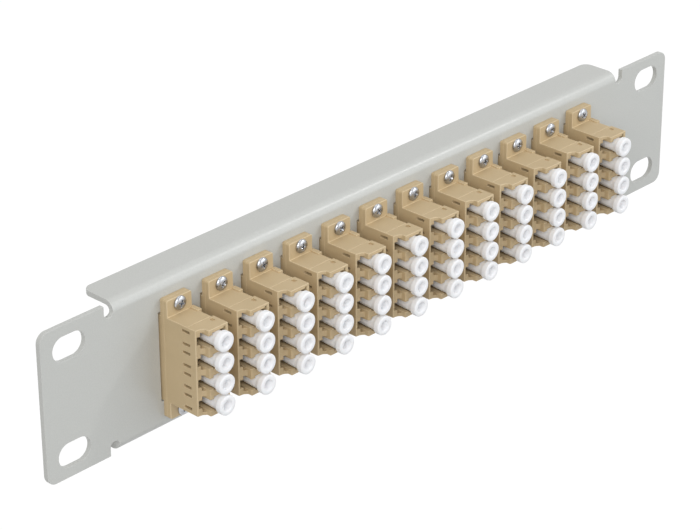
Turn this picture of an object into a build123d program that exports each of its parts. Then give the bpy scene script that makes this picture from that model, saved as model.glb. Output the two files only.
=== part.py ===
from build123d import *
from math import cos, radians
import os

# Fibre patch panel for a 10 inch rack, one unit high: a folded sheet-steel plate that carries
# twelve four-port LC adapters. Each adapter is two mouldings welded at the middle of their
# mounting flange, held by two screws, with a dust cap in every port at the front and the rear.
# Millimetres. +X runs along the panel, +Y to its back, +Z up.
# The origin is the centre of the plate's front face.

# Folded plate
panel_width = 254.0
panel_height = 44.0
sheet = 1.5
bend_radius = 3.0
flange_depth = 12.0
flange_corner = 2.8
ear_width = 21.6
ear_outer_corner = 3.0
relief_width = 3.1
relief_depth = 3.9
folded_length = panel_width - 2 * (ear_width + relief_width)

# Rack slots, counted from the outer end of each ear
slot_inset = 9.5
slot_spacing_z = 30.8
slot_length = 10.8
slot_height = 7.0

# Row of adapters
adapter_count = 12
adapter_pitch = 15.0
row_offset_x = 0.5
row_offset_z = -0.4

# Adapter mouldings. Reaches are counted from the plate's front face.
mount_width = 8.9
mount_height = 35.2
mount_thickness = 2.7
mount_corner = 0.7
body_width = 8.7
body_height = 25.4
hood_width = 9.4
hood_start = 9.9
hood_reach = 15.6
latch_reach = 13.1
latch_lip = 0.9
latch_slope = 2.7
shoulder_width = 0.9
shoulder_reach = 5.6

# Room round an adapter in the hole cut for it
cutout_gap_latch = 0.6
cutout_gap_side = 0.35
cutout_gap_above = 0.85
cutout_gap_below = 0.25

# Ports, four in a column, with the latch key towards -X
port_count = 4
port_pitch = 6.25
port_height = 4.5
port_wall = 0.55
key_height = 2.4
key_wall = 0.5
key_depth = 1.0
port_floor = 3.75

# Dust caps: a plug with a flared collar that stands in front of the hood
cap_sides = 8
cap_axis = 5.6
cap_stand_out = 3.1
cap_tip_gap = 1.85
cap_side_gap = 0.35
cap_flare_length = 0.5
cap_collar_radius = 2.85
cap_collar_length = 1.5
cap_recess_radius = 1.75
cap_recess_depth = 1.2

# Adapter screws
screw_spacing = 31.2
head_sides = 8
head_radius = 2.0
head_height = 0.95

cap_stem_radius = port_height / 2 - cap_side_gap
adapter_middle = -mount_thickness / 2
half_turn = 180.0
sides = (-1, 1)


def adapter_x(index):
    """Screw line of one adapter along the panel."""
    return row_offset_x + (index - (adapter_count - 1) / 2) * adapter_pitch


def adapter_place(index):
    """Where an adapter's latch face and middle height come to lie."""
    return Pos(adapter_x(index) - mount_width / 2, 0, row_offset_z)


def port_heights():
    """Port centres above and below the middle of the adapter."""
    return [((port_count - 1) / 2 - port) * port_pitch for port in range(port_count)]


def prism_y(sketch, y_near, y_far):
    """Push a front view from one depth to another."""
    return Pos(0, y_far, 0) * extrude(Plane.XZ * sketch, amount=y_far - y_near)


def to_the_rear(shape):
    """Mirror image of a front piece in the middle of the mounting flange."""
    return mirror(shape, about=Plane.XZ.offset(-adapter_middle))


def folded_middle():
    """The channel between the ears: a front wall with a flange turned back at each edge."""
    outside = RectangleRounded(2 * flange_depth, panel_height, bend_radius)
    inside_width = 2 * (flange_depth - sheet)
    inside = RectangleRounded(inside_width, panel_height - 2 * sheet, bend_radius - sheet)
    section = Pos(flange_depth, 0) * (outside - inside)
    tube = extrude(Plane.YZ * section, amount=folded_length / 2, both=True)
    plan = RectangleRounded(folded_length, 2 * flange_depth, flange_corner)
    return tube & extrude(plan, amount=panel_height, both=True)


def ear_sketch(side):
    """Front view of one ear with its rack slots, and the neck between the two bend reliefs."""
    plate = RectangleRounded(ear_width, panel_height, ear_outer_corner)
    plate += Pos(-side * ear_width / 4, 0) * Rectangle(ear_width / 2, panel_height)
    plate = Pos(side * (panel_width - ear_width) / 2, 0) * plate
    bridge_length = relief_width + ear_width / 4
    bridge = Rectangle(bridge_length, panel_height - 2 * relief_depth + relief_width)
    plate += Pos(side * (folded_length + bridge_length) / 2, 0) * bridge
    for edge in sides:
        relief_z = edge * (panel_height / 2 - relief_depth + relief_width / 2)
        plate -= Pos(side * (folded_length + relief_width) / 2, relief_z) * Circle(relief_width / 2)
        slot_place = Pos(side * (panel_width / 2 - slot_inset), edge * slot_spacing_z / 2)
        plate -= slot_place * SlotOverall(slot_length, slot_height)
    return plate


def adapter_openings():
    """Front view of the row of holes, each cut round the body and shoulder of an adapter."""
    right = body_width + shoulder_width + cutout_gap_side
    top = body_height / 2 + cutout_gap_above
    bottom = -body_height / 2 - cutout_gap_below
    window = Rectangle(right + cutout_gap_latch, top - bottom)
    window = Pos((right - cutout_gap_latch - mount_width) / 2, (top + bottom) / 2 + row_offset_z) * window
    return Sketch() + [Pos(adapter_x(index), 0) * window for index in range(adapter_count)]


def build_panel():
    plate = folded_middle()
    for side in sides:
        plate += prism_y(ear_sketch(side), 0, sheet)
    return plate - prism_y(adapter_openings(), -sheet, 2 * sheet)


def body_plan():
    """Plan of a front moulding, from its weld face out to the hood over the ports."""
    slope_end = latch_lip + latch_slope
    shoulder = body_width + shoulder_width
    outline = Polyline(
        (0, adapter_middle),
        (0, -latch_reach),
        (latch_lip, -latch_reach),
        (slope_end, -hood_reach),
        (hood_width, -hood_reach),
        (hood_width, -hood_start),
        (body_width, -hood_start),
        (body_width, -shoulder_reach),
        (shoulder, -shoulder_reach),
        (shoulder, -mount_thickness),
        (body_width, -mount_thickness),
        (body_width, adapter_middle),
        close=True,
    )
    return make_face(outline)


def mount_sketch():
    """Front view of the mounting flange."""
    plate = Rectangle(mount_width, mount_height)
    return Pos(mount_width / 2, 0) * chamfer(plate.vertices(), mount_corner)


def port_sketch():
    """Front view of one port: the square way for the plug with the latch key beside it."""
    near = key_wall + key_depth
    far = body_width - port_wall
    way = Pos((near + far) / 2, 0) * Rectangle(far - near, port_height)
    key_far = near + key_wall
    return way + Pos((key_wall + key_far) / 2, 0) * Rectangle(key_far - key_wall, key_height)


def build_moulding():
    """Front half of an adapter: mounting flange, body and hood with four open ports."""
    solid = extrude(body_plan(), amount=body_height / 2, both=True)
    solid += prism_y(mount_sketch(), -mount_thickness, adapter_middle)
    socket = prism_y(port_sketch(), -2 * hood_reach, -port_floor)
    for height in port_heights():
        solid -= Pos(0, 0, height) * socket
    return solid


def build_cap(recessed):
    """One dust cap, drawn along +Z from the tip of its stem and then laid in its port."""
    tip = port_floor + cap_tip_gap
    length = hood_reach + cap_stand_out - tip
    flare_start = length - cap_collar_length - cap_flare_length
    head = extrude(RegularPolygon(cap_collar_radius, cap_sides), amount=length - flare_start)
    base = head.faces().sort_by(Axis.Z)[0]
    growth = (cap_collar_radius - cap_stem_radius) * cos(radians(half_turn / cap_sides))
    head = chamfer(base.edges(), growth, cap_flare_length, reference=base)
    stem = extrude(RegularPolygon(cap_stem_radius, cap_sides), amount=flare_start + cap_flare_length / 2)
    cap = stem + Pos(0, 0, flare_start) * head
    if recessed:
        recess = extrude(RegularPolygon(cap_recess_radius, cap_sides), amount=-cap_recess_depth)
        cap -= Pos(0, 0, length) * recess
    return Pos(cap_axis, -tip, 0) * Rot(90, 0, 0) * cap


def build_screw():
    """One screw head, flat on the mounting flange; its thread and hole are too fine to draw."""
    head = extrude(RegularPolygon(head_radius, head_sides), amount=head_height)
    return Pos(mount_width / 2, -mount_thickness, 0) * Rot(90, 0, 0) * head


def save(name, shapes):
    """Write one node; several loose pieces of a kind share it."""
    node = shapes[0] if len(shapes) == 1 else Compound(children=shapes)
    export_step(node, os.path.join("parts", name + ".step"))


def column(piece):
    """Four copies of a piece, one for each port of an adapter."""
    return [Pos(0, 0, height) * piece for height in port_heights()]


os.makedirs("parts", exist_ok=True)
save("panel", [build_panel()])

front_moulding = build_moulding()
rear_moulding = to_the_rear(front_moulding)
front_caps = column(build_cap(True))
rear_caps = [to_the_rear(cap) for cap in column(build_cap(False))]
for index in range(adapter_count):
    number = str(index + 1).zfill(2)
    place = adapter_place(index)
    save("front_housing_" + number, [place * front_moulding])
    save("rear_housing_" + number, [place * rear_moulding])
    save("front_caps_" + number, [place * cap for cap in front_caps])
    save("rear_caps_" + number, [place * cap for cap in rear_caps])

places = [adapter_place(index) for index in range(adapter_count)]
screw = build_screw()
for name, side in (("upper_screws", 1), ("lower_screws", -1)):
    raised = Pos(0, 0, side * screw_spacing / 2) * screw
    save(name, [place * raised for place in places])
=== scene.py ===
import math

import bmesh
import bpy
from mathutils import Matrix, Vector


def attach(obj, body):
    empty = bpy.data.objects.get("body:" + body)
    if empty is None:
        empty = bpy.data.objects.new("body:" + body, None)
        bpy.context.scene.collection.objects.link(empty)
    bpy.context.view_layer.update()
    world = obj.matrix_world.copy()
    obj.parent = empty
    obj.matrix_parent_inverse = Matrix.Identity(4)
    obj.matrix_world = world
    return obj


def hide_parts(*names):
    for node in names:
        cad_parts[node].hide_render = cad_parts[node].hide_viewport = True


# Fibre patch panel: folded steel plate, twelve four-port adapters, dust caps front and rear.
# Everything is drawn in millimetres and brought to metres when a piece is finished.

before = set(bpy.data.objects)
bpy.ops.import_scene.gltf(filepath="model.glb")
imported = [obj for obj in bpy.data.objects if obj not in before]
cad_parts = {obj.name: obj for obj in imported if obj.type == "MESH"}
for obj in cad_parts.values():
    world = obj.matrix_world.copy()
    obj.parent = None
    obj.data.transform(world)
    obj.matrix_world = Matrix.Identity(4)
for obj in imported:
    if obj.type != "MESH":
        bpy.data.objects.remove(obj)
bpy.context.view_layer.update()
mm = 0.001

row = {
    "count": 12,
    "pitch": 15.0,
    "firstX": -86.45,     # latch face of the first adapter
    "middleZ": -0.4,
    "middleY": -1.35,     # weld line of the two mouldings
    "ports": [9.375, 3.125, -3.125, -9.375],
    "portX": 5.6,
    "screwX": 4.45,
    "screwZ": [15.6, -15.6],
}

fine = {
    "merge": 0.004,       # points nearer than this become one
    "spunMerge": 0.0005,
    "flat": 0.3,          # degrees between faces that count as one plane
    "onWeld": 0.01,
    "match": 0.05,        # how near an edge lies to the place it is looked for at
    "past": 1,            # how far a cutter goes beyond the surface it cuts
    "smooth": 32,         # degrees up to which an edge is shaded smooth
}


class Wire:
    def __init__(self, finish, socket):
        self.finish = finish
        self.socket = socket

    def maths(self, operation, first, second):
        return self.finish.node("ShaderNodeMath", {"operation": operation}, {0: first, 1: second})

    def __add__(self, other):
        return self.maths("ADD", self, other)

    def __radd__(self, other):
        return self.maths("ADD", other, self)

    def __mul__(self, other):
        return self.maths("MULTIPLY", self, other)

    def __rmul__(self, other):
        return self.maths("MULTIPLY", other, self)


class Finish:
    def __init__(self, name, world=False):
        self.owner = (bpy.data.worlds if world else bpy.data.materials).new(name)
        self.owner.use_nodes = True
        self.tree = self.owner.node_tree
        self.tree.nodes.clear()
        kind = "ShaderNodeOutputWorld" if world else "ShaderNodeOutputMaterial"
        self.output = self.tree.nodes.new(kind)

    def node(self, kind, settings=None, inputs=None, output=0):
        made = self.tree.nodes.new(kind)
        for key, value in (settings or {}).items():
            if key == "stops":
                for element, stop in zip(made.color_ramp.elements, value):
                    element.position, element.color = stop
            else:
                setattr(made, key, value)
        for key, value in (inputs or {}).items():
            if isinstance(value, Wire):
                self.tree.links.new(value.socket, made.inputs[key])
            else:
                made.inputs[key].default_value = value
        return Wire(self, made.outputs[output])

    def show(self, shader):
        self.tree.links.new(shader.socket, self.output.inputs["Surface"])
        return self.owner


def tint(*levels):
    # screen colour 0-255 to the linear value a shader wants
    linear = []
    for level in levels:
        share = level / 255
        linear.append(share / 12.92 if share <= 0.04045 else ((share + 0.055) / 1.055) ** 2.4)
    return (*linear, 1.0)


def noise(finish, spot, scale, detail=2.0, roughness=0.5):
    return finish.node("ShaderNodeTexNoise", {}, {"Vector": spot, "Scale": scale, "Detail": detail,
                                                 "Roughness": roughness})


def mottle(finish, share, first, second):
    return finish.node("ShaderNodeMix", {"data_type": "RGBA"}, {0: share, 6: first, 7: second}, 2)


def bumps(finish, strengthAndDepth, height):
    strength, depth = strengthAndDepth
    return finish.node("ShaderNodeBump", {}, {"Strength": strength, "Distance": depth,
                                              "Height": height})


powder = {
    "colour": tint(200, 201, 197),
    "speckle": tint(188, 189, 185),
    "speckleFrom": (0.38, 0.68),      # grain levels between which the speckle comes in
    "speckleShare": 0.4,
    "cloudShare": 0.25,
    "grainSize": 0.00045,
    "pitScale": 1500.0,
    "cloudScale": 22.0,
    "heights": (0.75, 0.25),          # shares of grain and pits in the bump
    "bump": (0.5, 0.00005),           # strength and depth
    "roughness": (0.24, 0.14),        # the least, and what the grain adds
    "specular": 0.45,
}

beige = {
    "colour": tint(201, 179, 142),
    "flow": tint(192, 170, 132),
    # lighter beige for the rounded edges: a painted highlight along them
    "paintedEdgeHighlight": tint(222, 203, 168),
    "flowScale": (160.0, 60.0, 160.0),
    "grainScale": 5200.0,
    "heights": (0.6, 0.8),            # shares of grain and flow in the bump
    "bump": (0.35, 0.00002),
    "roughness": (0.42, 0.1),
    "specular": 0.4,
}

white = {
    "colour": tint(249, 249, 250),
    "shade": tint(243, 243, 245),
    "cloudScale": 260.0,
    "grainScale": 3800.0,
    "bump": (0.25, 0.00002),
    "roughness": (0.38, 0.08),
    "specular": 0.4,
    "glowThrough": 0.12,
    "glowRadius": (1.0, 0.9, 0.85),
    "glowDepth": 0.001,
}

zinc = {
    "colour": tint(208, 209, 212),
    "dull": tint(138, 139, 143),
    "spangleScale": 900.0,
    "scratchScale": 6000.0,
    "bump": (0.3, 0.00002),
    "roughness": (0.17, 0.12),
}


def powderCoat():
    finish = Finish("powderCoat")
    spot = finish.node("ShaderNodeTexCoord", output="Object")
    peel = noise(finish, spot, 1 / powder["grainSize"], 3.0, 0.6)
    pits = finish.node("ShaderNodeTexVoronoi", {}, {"Vector": spot, "Scale": powder["pitScale"]})
    cloud = noise(finish, spot, powder["cloudScale"])
    low, high = powder["speckleFrom"]
    stops = [(low, (0, 0, 0, 1)), (high, (1, 1, 1, 1))]
    speckle = finish.node("ShaderNodeValToRGB", {"stops": stops}, {"Fac": peel})
    share = speckle * powder["speckleShare"] + cloud * powder["cloudShare"]
    grainHeight, pitHeight = powder["heights"]
    least, added = powder["roughness"]
    return finish.show(finish.node("ShaderNodeBsdfPrincipled", {}, {
        "Base Color": mottle(finish, share, powder["colour"], powder["speckle"]),
        "Roughness": least + peel * added,
        "Normal": bumps(finish, powder["bump"], peel * grainHeight + pits * pitHeight),
        "Specular IOR Level": powder["specular"],
    }))


def beigePlastic(name, colour, other):
    finish = Finish(name)
    spot = finish.node("ShaderNodeTexCoord", output="Object")
    streaks = finish.node("ShaderNodeMapping", {}, {"Vector": spot, "Scale": beige["flowScale"]})
    flow = noise(finish, streaks, 1.0, 3.0)
    grain = noise(finish, spot, beige["grainScale"])
    grainHeight, flowHeight = beige["heights"]
    least, added = beige["roughness"]
    return finish.show(finish.node("ShaderNodeBsdfPrincipled", {}, {
        "Base Color": mottle(finish, flow, colour, other),
        "Roughness": least + grain * added,
        "Normal": bumps(finish, beige["bump"], grain * grainHeight + flow * flowHeight),
        "Specular IOR Level": beige["specular"],
    }))


def whitePlastic():
    finish = Finish("whitePlastic")
    spot = finish.node("ShaderNodeTexCoord", output="Object")
    cloud = noise(finish, spot, white["cloudScale"])
    grain = noise(finish, spot, white["grainScale"], 1.0)
    least, added = white["roughness"]
    return finish.show(finish.node("ShaderNodeBsdfPrincipled", {}, {
        "Base Color": mottle(finish, cloud, white["colour"], white["shade"]),
        "Roughness": least + cloud * added,
        "Normal": bumps(finish, white["bump"], grain),
        "Subsurface Weight": white["glowThrough"],
        "Subsurface Radius": white["glowRadius"],
        "Subsurface Scale": white["glowDepth"],
        "Specular IOR Level": white["specular"],
    }))


def zincPlate():
    finish = Finish("zincPlate")
    spot = finish.node("ShaderNodeTexCoord", output="Object")
    spangle = noise(finish, spot, zinc["spangleScale"], 3.0)
    scratch = noise(finish, spot, zinc["scratchScale"], 1.0)
    least, added = zinc["roughness"]
    return finish.show(finish.node("ShaderNodeBsdfPrincipled", {}, {
        "Base Color": mottle(finish, spangle, zinc["colour"], zinc["dull"]),
        "Metallic": 1.0,
        "Roughness": least + spangle * added,
        "Normal": bumps(finish, zinc["bump"], scratch),
    }))


# the second coat of a slot is for its rounded edges; on the adapters it is a lighter beige, a
# painted highlight along those edges
coats = {
    "powder_coat": [powderCoat()],
    "adapter_plastic": [beigePlastic("beigePlastic", beige["colour"], beige["flow"]),
                        # second adapter coat: painted highlight on the rounded edges
                        beigePlastic("beigePaintedEdgeHighlight", beige["paintedEdgeHighlight"], beige["colour"])],
    "cap_plastic": [whitePlastic()],
    "zinc_plate": [zincPlate()],
}
print("finishes made")


def outlineSolid(points, direction):
    # a flat outline given a thickness
    bm = bmesh.new()
    corners = [bm.verts.new(point) for point in points]
    face = bm.faces.new(corners)
    grown = bmesh.ops.extrude_face_region(bm, geom=[face])
    moved = [item for item in grown["geom"] if isinstance(item, bmesh.types.BMVert)]
    bmesh.ops.translate(bm, verts=moved, vec=direction)
    bmesh.ops.recalc_face_normals(bm, faces=bm.faces)
    return bm


def block(low, high):
    bm = bmesh.new()
    bmesh.ops.create_cube(bm, size=1.0)
    size = [high[i] - low[i] for i in range(3)]
    centre = [(high[i] + low[i]) / 2 for i in range(3)]
    bmesh.ops.scale(bm, verts=bm.verts, vec=size)
    bmesh.ops.translate(bm, verts=bm.verts, vec=centre)
    return bm


def turned(profile, steps):
    # a profile of (radius, depth), closed or with both ends on the axis, spun about Y
    bm = bmesh.new()
    corners = [bm.verts.new((radius, depth, 0.0)) for radius, depth in profile]
    for near, far in zip(corners, corners[1:]):
        bm.edges.new((near, far))
    bmesh.ops.spin(bm, geom=bm.verts[:] + bm.edges[:], cent=(0, 0, 0), axis=(0, 1, 0),
                   angle=math.tau, steps=steps, use_merge=True)
    bmesh.ops.remove_doubles(bm, verts=bm.verts, dist=fine["spunMerge"])
    bmesh.ops.recalc_face_normals(bm, faces=bm.faces)
    return bm


def rounded(bm, edges, width, segments):
    return bmesh.ops.bevel(bm, geom=edges, offset=width, segments=segments, affect="EDGES",
                           profile=0.5, material=-1)


def upright(bm, x, y):
    # edges that run up Z at one point of the plan
    reach = fine["match"]
    found = []
    for edge in bm.edges:
        ends = [vert.co for vert in edge.verts]
        if all(abs(end.x - x) < reach and abs(end.y - y) < reach for end in ends):
            if abs(ends[0].z - ends[1].z) > reach:
                found.append(edge)
    return found


def shifted(bm, place):
    bmesh.ops.translate(bm, verts=bm.verts, vec=place)
    return bm


def toMesh(name, bm):
    mesh = bpy.data.meshes.new(name)
    bm.to_mesh(mesh)
    bm.free()
    return mesh


def toObject(name, bm):
    # two empty slots, so that a boolean keeps which faces are rounded edges
    mesh = toMesh(name, bm)
    mesh.materials.append(None)
    mesh.materials.append(None)
    made = bpy.data.objects.new(name, mesh)
    bpy.context.collection.objects.link(made)
    return made


def joinAll(parts):
    # several bmeshes gathered in one
    whole = bmesh.new()
    for part in parts:
        mesh = toMesh("part", part)
        whole.from_mesh(mesh)
        bpy.data.meshes.remove(mesh)
    return whole


def lifted(target):
    # an object's mesh as a bmesh, and the object gone
    bm = bmesh.new()
    bm.from_mesh(target.data)
    bpy.data.objects.remove(target)
    return bm


def settle(target):
    # makes the live modifiers part of the mesh
    shapeNow = target.evaluated_get(bpy.context.evaluated_depsgraph_get())
    mesh = bpy.data.meshes.new_from_object(shapeNow)
    target.modifiers.clear()
    target.data = mesh


def carve(target, tool, operation="DIFFERENCE"):
    cutter = toObject("cutter", tool)
    step = target.modifiers.new("carve", "BOOLEAN")
    step.operation = operation
    step.solver = "EXACT"
    step.object = cutter
    settle(target)
    bpy.data.objects.remove(cutter)


def softenEdges(bm, width, segments=1, angle=35, weldY=None, spared=None):
    # merges what lies in one plane, then rounds every sharp edge but those on the weld plane
    # and those with an end where spared says so
    bmesh.ops.remove_doubles(bm, verts=bm.verts, dist=fine["merge"])
    bmesh.ops.dissolve_limit(bm, angle_limit=math.radians(fine["flat"]), verts=bm.verts,
                             edges=bm.edges)
    sharp = []
    for edge in bm.edges:
        ends = [vert.co for vert in edge.verts]
        kept = weldY is not None and all(abs(end.y - weldY) < fine["onWeld"] for end in ends)
        kept = kept or (spared is not None and any(spared(end) for end in ends))
        if len(edge.link_faces) == 2 and not kept and edge.calc_face_angle(0) > math.radians(angle):
            sharp.append(edge)
    # rounded faces take the second coat, which on the adapters is a painted highlight
    for face in rounded(bm, sharp, width, segments)["faces"]:
        face.material_index = 1
    return bm


def smoothFaces(mesh, angle):
    bm = bmesh.new()
    bm.from_mesh(mesh)
    for face in bm.faces:
        face.smooth = True
    limit = math.radians(angle)
    for edge in bm.edges:
        edge.smooth = len(edge.link_faces) == 2 and edge.calc_face_angle(0) < limit
    bm.to_mesh(mesh)
    bm.free()


def finishPiece(name, mesh, slotName, body, node=None, smooth=fine["smooth"]):
    # to metres, with the place in the mesh and the object at the origin
    mesh.transform(Matrix.Scale(mm, 4))
    smoothFaces(mesh, smooth)
    last = len(coats[slotName]) - 1
    picked = [min(face.material_index, last) for face in mesh.polygons]
    mesh.materials.clear()
    for coat in coats[slotName]:
        mesh.materials.append(coat)
    mesh.polygons.foreach_set("material_index", picked)
    piece = bpy.data.objects.new(name, mesh)
    bpy.context.collection.objects.link(piece)
    # large flat faces keep their own normals beside rounded edges
    steady = piece.modifiers.new("steady", "WEIGHTED_NORMAL")
    steady.keep_sharp = True
    settle(piece)
    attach(piece, body)
    if node:
        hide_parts(node)


def adapterPlace(index):
    return Vector((row["firstX"] + index * row["pitch"], 0.0, row["middleZ"]))


def mirrored(mesh):
    # rear twin of a front mesh, mirrored in the weld plane
    flip = Matrix.Translation((0, row["middleY"], 0)) @ Matrix.Scale(-1, 4, (0, 1, 0))
    mesh.transform(flip @ Matrix.Translation((0, -row["middleY"], 0)))
    mesh.flip_normals()
    return mesh


def placeRow(master, word, nodeWord, slotName, body=None, smooth=fine["smooth"]):
    # a front and a rear copy at every adapter; without a body each rides on its own node's
    for index in range(row["count"]):
        number = str(index + 1).zfill(2)
        front = master.data.copy()
        rear = mirrored(master.data.copy())
        for mesh, side in ((front, "front"), (rear, "rear")):
            mesh.transform(Matrix.Translation(adapterPlace(index)))
            node = side + "_" + nodeWord + "_" + number
            finishPiece(side + word + number, mesh, slotName, body or node, node, smooth)
    bpy.data.objects.remove(master)


plate = {
    "edge": 0.16,
    "edgeSteps": 2,
    "reliefX": 102.3,       # flank of a bend relief, where its edges run out into the bend
    "reliefReach": 0.04,
    "reliefZ": (18.9, 20.6),
}


def atRelief(spot):
    low, high = plate["reliefZ"]
    return abs(abs(spot.x) - plate["reliefX"]) < plate["reliefReach"] and low < abs(spot.z) < high


def buildPlate():
    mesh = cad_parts["panel"].data.copy()
    bm = bmesh.new()
    bm.from_mesh(mesh)
    bmesh.ops.scale(bm, verts=bm.verts, vec=(1 / mm, 1 / mm, 1 / mm))
    softenEdges(bm, plate["edge"], plate["edgeSteps"], spared=atRelief)
    bm.to_mesh(mesh)
    bm.free()
    finishPiece("foldedPlate", mesh, "powder_coat", "panel_assembly", "panel")


buildPlate()
print("plate made")


moulding = {
    "width": 8.7,
    "height": 25.4,
    "mount": (8.9, 35.2, 2.7),
    "mountCorner": 0.6,
    "hoodReach": 15.6,
    "hoodWidth": 9.4,
    "hoodStart": 10.1,
    "stepLine": (0.14, 0.07, 11),         # mould line round the hood: width, depth, cutter's end
    "face": [(0, 13.1), (1.55, 13.3), (2.45, 14.1), (2.45, 15.5)],   # latch lip, then a step
    "faceRound": {1: 0.4, 2: 0.12, 3: 0.3},
    "roundSteps": 4,
    "shoulder": (9.6, 2.7, 5.6, 0.28),    # right side, from, to, rise above the body
    "shoulderRoot": (0.6, 0.3),           # how far it goes into the body and the flange
    "shoulderEdge": 0.12,
    "floor": 3.75,
    "portCut": 20.0,
    "key": (0.5, 1.5, 1.2),               # each step of a port: from, to, half height
    "brim": (1.5, 2.45, 2.3),
    "neck": (2.45, 3.75, 1.65),
    "body": (3.75, 7.8, 2.25),
    "corner": (7.8, 8.5, 2.68),
    "slits": (8.15, 10.94, 1.87, 0.8, 1.7),     # from, to, off centre, height, depth
    "groove": (7.05, 8.15, 10.9, 12.4, 0.5),    # left, right, from, to, depth
    "holder": (1.35, 0.84, 9.2),          # outer and inner radius, reach
    "holderRoot": 0.3,
    "holderLead": (0.1, 0.15),            # chamfers of its bore and its rim
    "holderSteps": 20,
    "edge": 0.2,
    "edgeSteps": 2,
    "cutEdge": 0.05,
    "cutAngle": 50,
}


def portCutter():
    # stepped way of one LC port, key towards the latch side
    top = []
    for name in ("key", "brim", "neck", "body", "corner"):
        near, far, half = moulding[name]
        top += [(near, half), (far, half)]
    outline = [(x, -moulding["floor"], z) for x, z in top]
    outline += [(x, -moulding["floor"], -z) for x, z in reversed(top)]
    kept = [point for i, point in enumerate(outline) if point != outline[i - 1]]
    return outlineSolid(kept, (0, -moulding["portCut"], 0))


def mountBlock():
    # mounting flange with rounded corners
    width, height, thick = moulding["mount"]
    mount = block((0, -thick, -height / 2), (width, row["middleY"], height / 2))
    corners = []
    for edge in mount.edges:
        if abs(edge.verts[0].co.y - edge.verts[1].co.y) > fine["match"]:
            corners.append(edge)
    rounded(mount, corners, moulding["mountCorner"], moulding["roundSteps"])
    return mount


def bodyBlock():
    # body and hood in one, with a latch lip and a step in the hood's face
    shape = moulding
    weld = row["middleY"]
    half = shape["height"] / 2
    hood = shape["hoodStart"]
    plan = [(0, weld)] + [(x, -far) for x, far in shape["face"]]
    plan += [(shape["hoodWidth"], -shape["hoodReach"]), (shape["hoodWidth"], -hood),
             (shape["width"], -hood), (shape["width"], weld)]
    body = outlineSolid([(x, y, -half) for x, y in plan], (0, 0, 2 * half))
    for point, radius in shape["faceRound"].items():
        x, far = shape["face"][point]
        rounded(body, upright(body, x, -far), radius, shape["roundSteps"])
    return body


def slitCutters():
    near, far, off, tall, deep = moulding["slits"]
    slits = []
    for z in row["ports"]:
        for middle in (z - off, z + off):
            low = (-fine["past"], -far, middle - tall / 2)
            slits.append(block(low, (deep, -near, middle + tall / 2)))
    return joinAll(slits)


def buildShell():
    # body, hood and flange joined, with the ports, slits, grooves and step line cut in them
    shape = moulding
    made = toObject("moulding", bodyBlock())
    carve(made, mountBlock(), "UNION")
    soft = softenEdges(lifted(made), shape["edge"], shape["edgeSteps"], weldY=row["middleY"])
    made = toObject("moulding", soft)
    carve(made, joinAll([shifted(portCutter(), (0, 0, z)) for z in row["ports"]]))
    carve(made, slitCutters())
    left, right, near, far, deep = shape["groove"]
    wide, shallow, end = shape["stepLine"]
    half = shape["height"] / 2
    past = fine["past"]
    hood = shape["hoodStart"]
    for side in (-1, 1):
        sunk = sorted((side * (half - deep), side * (half + past)))
        carve(made, block((left, -far, sunk[0]), (right, -near, sunk[1])))
        sunk = sorted((side * (half - shallow), side * (half + past)))
        carve(made, block((-past, -hood, sunk[0]), (end, wide - hood, sunk[1])))
    return softenEdges(lifted(made), shape["cutEdge"], 1, shape["cutAngle"])


def buildShoulder():
    # pad beside the body, in front of the rest of the hole in the plate
    right, near, far, rise = moulding["shoulder"]
    inBody, inMount = moulding["shoulderRoot"]
    top = moulding["height"] / 2 + rise
    pad = block((moulding["width"] - inBody, -far, -top), (right, inMount - near, top))
    return softenEdges(pad, moulding["shoulderEdge"], moulding["edgeSteps"])


def buildHolder():
    # tube on the port floor that a sleeve stands in
    outer, inner, reach = moulding["holder"]
    bore, rim = moulding["holderLead"]
    root = -moulding["floor"] + moulding["holderRoot"]
    return turned([(inner, root), (inner, -reach + bore), (inner + bore, -reach),
                   (outer - rim, -reach), (outer, -reach + rim), (outer, root), (inner, root)],
                  moulding["holderSteps"])


def buildMoulding():
    parts = [buildShell(), buildShoulder()]
    parts += [shifted(buildHolder(), (row["portX"], 0, z)) for z in row["ports"]]
    return toObject("moulding", joinAll(parts))


placeRow(buildMoulding(), "Moulding", "housing", "adapter_plastic", "panel_assembly")
print("adapter mouldings made")


dustCap = {
    "steps": 40,
    "smooth": 40,
    "tip": 5.6,
    "bore": (1.55, 10.4, 0.2),     # radius, end, and chamfer there
    # radius and distance in front of the plate, from the tip of the stem outwards
    "outside": [(1.66, 5.6), (1.82, 5.9), (1.9, 9.0), (2.02, 11.6), (2.07, 11.7), (2.12, 13.4),
                (2.16, 13.5), (2.19, 15.4), (2.22, 15.72), (2.5, 16.8), (2.58, 16.92),
                (2.76, 16.98), (2.84, 17.1), (2.84, 18.38), (2.78, 18.6), (2.64, 18.7)],
    "recess": [(1.6, 18.7), (1.5, 18.63), (1.44, 18.45), (1.38, 16.7), (1.3, 16.5), (1.1, 16.4),
               (0, 16.4)],
}


def buildCap():
    wall = [(radius, -far) for radius, far in dustCap["outside"] + dustCap["recess"]]
    radius, end, lead = dustCap["bore"]
    inside = [(0, -end), (radius - lead, -end), (radius, -end + lead), (radius, -dustCap["tip"])]
    return turned(inside + wall, dustCap["steps"])


def buildCaps():
    caps = [shifted(buildCap(), (row["portX"], 0, z)) for z in row["ports"]]
    return toObject("caps", joinAll(caps))


placeRow(buildCaps(), "Caps", "caps", "cap_plastic", smooth=dustCap["smooth"])
print("dust caps made")


sleeve = {"outer": 0.8, "inner": 0.62, "length": 6.8, "lead": 0.08, "steps": 24}

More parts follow.
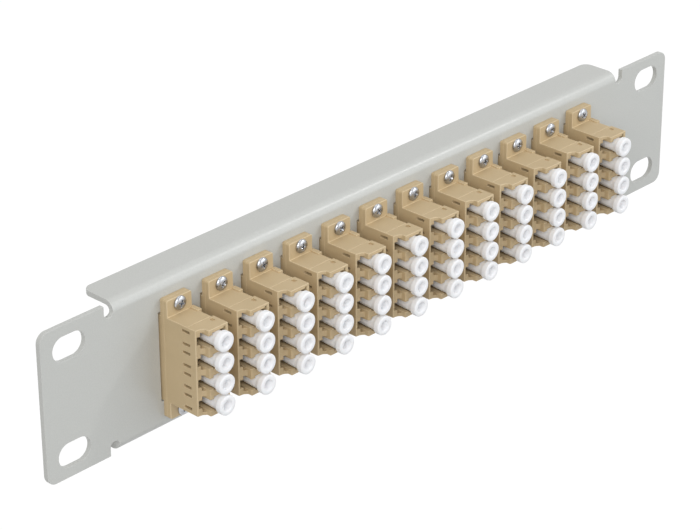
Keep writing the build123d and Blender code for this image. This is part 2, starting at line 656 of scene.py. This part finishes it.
screw = {
    "seat": 2.7,
    "headRadius": 2.05,
    "headHeight": 0.98,
    # share of the radius, and how far below the top
    "dome": [(0, 0), (0.42, 0.03), (0.72, 0.12), (0.9, 0.3), (0.99, 0.58), (1, 0.8)],
    "rim": 0.97,
    "shankRadius": 0.94,
    "length": 2.6,
    "lead": 0.3,
    "steps": 32,
    "recess": (2.9, 0.6, 0.7),     # length, width, depth of the cross
    "taper": (0.45, 1.0, 0.6),     # floor of an arm of the cross against its mouth
    "edge": 0.03,
    "edgeAngle": 50,
    "turns": [0.3, 1.1, 0.75, 0.1, 1.35, 0.55],    # how far round each kind was driven
    "stride": 5,                   # how the kinds are dealt along a row
    "start": {"upper": 0, "lower": 2},
}


def buildSleeve():
    lead = sleeve["lead"]
    back = row["middleY"] + sleeve["length"] / 2
    front = row["middleY"] - sleeve["length"] / 2
    outer = sleeve["outer"]
    inner = sleeve["inner"]
    return turned([(inner, back), (outer - lead, back), (outer, back - lead), (outer, front + lead),
                   (outer - lead, front), (inner, front), (inner, back)], sleeve["steps"])


def crossArm(angle, top):
    long, wide, deep = screw["recess"]
    arm = block((-long / 2, top - fine["past"], -wide / 2), (long / 2, top + deep, wide / 2))
    floorVerts = [vert for vert in arm.verts if vert.co.y > top]
    bmesh.ops.scale(arm, verts=floorVerts, vec=screw["taper"])
    bmesh.ops.rotate(arm, verts=arm.verts, cent=(0, 0, 0), matrix=Matrix.Rotation(angle, 3, "Y"))
    return arm


def buildScrew(turn):
    seat = -screw["seat"]
    radius = screw["headRadius"]
    top = seat - screw["headHeight"]
    shank = screw["shankRadius"]
    end = seat + screw["length"]
    lead = screw["lead"]
    profile = [(radius * share, top + drop) for share, drop in screw["dome"]]
    profile += [(radius * screw["rim"], seat), (shank, seat), (shank, end - lead),
                (shank - lead, end), (0, end)]
    made = toObject("screw", turned(profile, screw["steps"]))
    for angle in (0, math.pi / 2):
        carve(made, crossArm(angle + turn, top))
    return toObject("screw", softenEdges(lifted(made), screw["edge"], 1, screw["edgeAngle"]))


def placeSleeves():
    tubes = []
    for index in range(row["count"]):
        for z in row["ports"]:
            tubes.append(shifted(buildSleeve(), adapterPlace(index) + Vector((row["portX"], 0, z))))
    mesh = toMesh("alignmentSleeves", joinAll(tubes))
    finishPiece("alignmentSleeves", mesh, "cap_plastic", "panel_assembly")


def placeScrews():
    masters = [buildScrew(turn) for turn in screw["turns"]]
    for word, z in zip(("upper", "lower"), row["screwZ"]):
        gathered = bmesh.new()
        for index in range(row["count"]):
            pick = masters[(index * screw["stride"] + screw["start"][word]) % len(masters)]
            mesh = pick.data.copy()
            mesh.transform(Matrix.Translation(adapterPlace(index) + Vector((row["screwX"], 0, z))))
            gathered.from_mesh(mesh)
            bpy.data.meshes.remove(mesh)
        mesh = toMesh(word + "Screws", gathered)
        finishPiece(word + "Screws", mesh, "zinc_plate", "panel_assembly", word + "_screws")
    for master in masters:
        bpy.data.objects.remove(master)


placeSleeves()
placeScrews()
print("sleeves and screws made")


studio = {
    "floorZ": -0.085,
    "floorSize": 6.0,
    "floor": 0.4,                     # how pale the floor is to the light
    "floorWhite": (1.25, 0.75),       # glow that the eye sees on it, and that glow's share
    "floorRoughness": (0.9, 0.05),
    "floorCloud": 3.0,
    "world": 0.44,                    # light of the surroundings; the eye sees 1, which is white
    "key": {"place": (-0.95, -0.7, 0.7), "size": 0.9, "power": 9.4, "colour": (1, 1, 1)},
    "fill": {"place": (0.7, -1.1, 0.4), "size": 1.0, "power": 5.3, "colour": (0.9, 0.95, 1)},
    "top": {"place": (0.1, 0.25, 1.2), "size": 1.0, "power": 1.9, "colour": (1, 1, 1)},
    "glint": {"place": (0.79, -0.54, 0.73), "size": 0.1, "power": 1.9, "colour": (1, 1, 1)},
    "camera": {"place": (-0.497608, -0.458606, 0.337557), "turn": (1.101919, 0.004143, -0.813028),
               "lens": 137.977, "sensor": 36.0, "near": 0.05, "far": 20.0},
}


def seenRays(finish):
    # 1 for what the eye sees, straight or in a reflection, and 0 for the light that falls
    rays = finish.node("ShaderNodeLightPath", output="Is Camera Ray")
    rays = rays + finish.node("ShaderNodeLightPath", output="Is Glossy Ray")
    return rays + finish.node("ShaderNodeLightPath", output="Is Transmission Ray")


def paleFloor():
    # a lit surface, lifted to white for the eye so that only the shadow shows on it
    finish = Finish("paleFloor")
    spot = finish.node("ShaderNodeTexCoord", output="Object")
    cloud = noise(finish, spot, studio["floorCloud"])
    level = studio["floor"]
    least, added = studio["floorRoughness"]
    strength, share = studio["floorWhite"]
    lit = finish.node("ShaderNodeBsdfPrincipled", {}, {"Base Color": (level, level, level, 1.0),
                                                      "Roughness": least + cloud * added})
    glow = finish.node("ShaderNodeEmission", {}, {"Color": (1, 1, 1, 1), "Strength": strength})
    factor = seenRays(finish) * share
    return finish.show(finish.node("ShaderNodeMixShader", {}, {0: factor, 1: lit, 2: glow}))


def buildStage():
    bm = bmesh.new()
    bmesh.ops.create_grid(bm, x_segments=1, y_segments=1, size=studio["floorSize"])
    bmesh.ops.translate(bm, verts=bm.verts, vec=(0, 0, studio["floorZ"]))
    floor = toObject("floor", bm)
    floor.data.materials.clear()
    floor.data.materials.append(paleFloor())


def buildWorld():
    # softer in the light it gives than in the white it shows
    air = Finish("studio", world=True)
    soft = air.node("ShaderNodeBackground", {}, {"Color": (1, 1, 1, 1), "Strength": studio["world"]})
    pale = air.node("ShaderNodeBackground", {}, {"Color": (1, 1, 1, 1), "Strength": 1.0})
    mix = air.node("ShaderNodeMixShader", {}, {0: seenRays(air), 1: soft, 2: pale})
    bpy.context.scene.world = air.show(mix)


def addLamp(name):
    values = studio[name]
    data = bpy.data.lights.new(name, "AREA")
    data.size = values["size"]
    data.energy = values["power"]
    data.color = values["colour"]
    lamp = bpy.data.objects.new(name, data)
    lamp.location = values["place"]
    aim = Vector((0, 0, 0)) - lamp.location
    lamp.rotation_euler = aim.to_track_quat("-Z", "Y").to_euler()
    bpy.context.collection.objects.link(lamp)


def addCamera():
    values = studio["camera"]
    data = bpy.data.cameras.new("camera")
    data.lens = values["lens"]
    data.sensor_width = values["sensor"]
    data.clip_start = values["near"]
    data.clip_end = values["far"]
    camera = bpy.data.objects.new("camera", data)
    camera.location = values["place"]
    camera.rotation_euler = values["turn"]
    bpy.context.collection.objects.link(camera)
    bpy.context.scene.camera = camera


buildStage()
buildWorld()
for name in ("key", "fill", "top", "glint"):
    addLamp(name)
addCamera()
bpy.context.scene.view_settings.view_transform = "Standard"
print("stage, lights and camera placed")
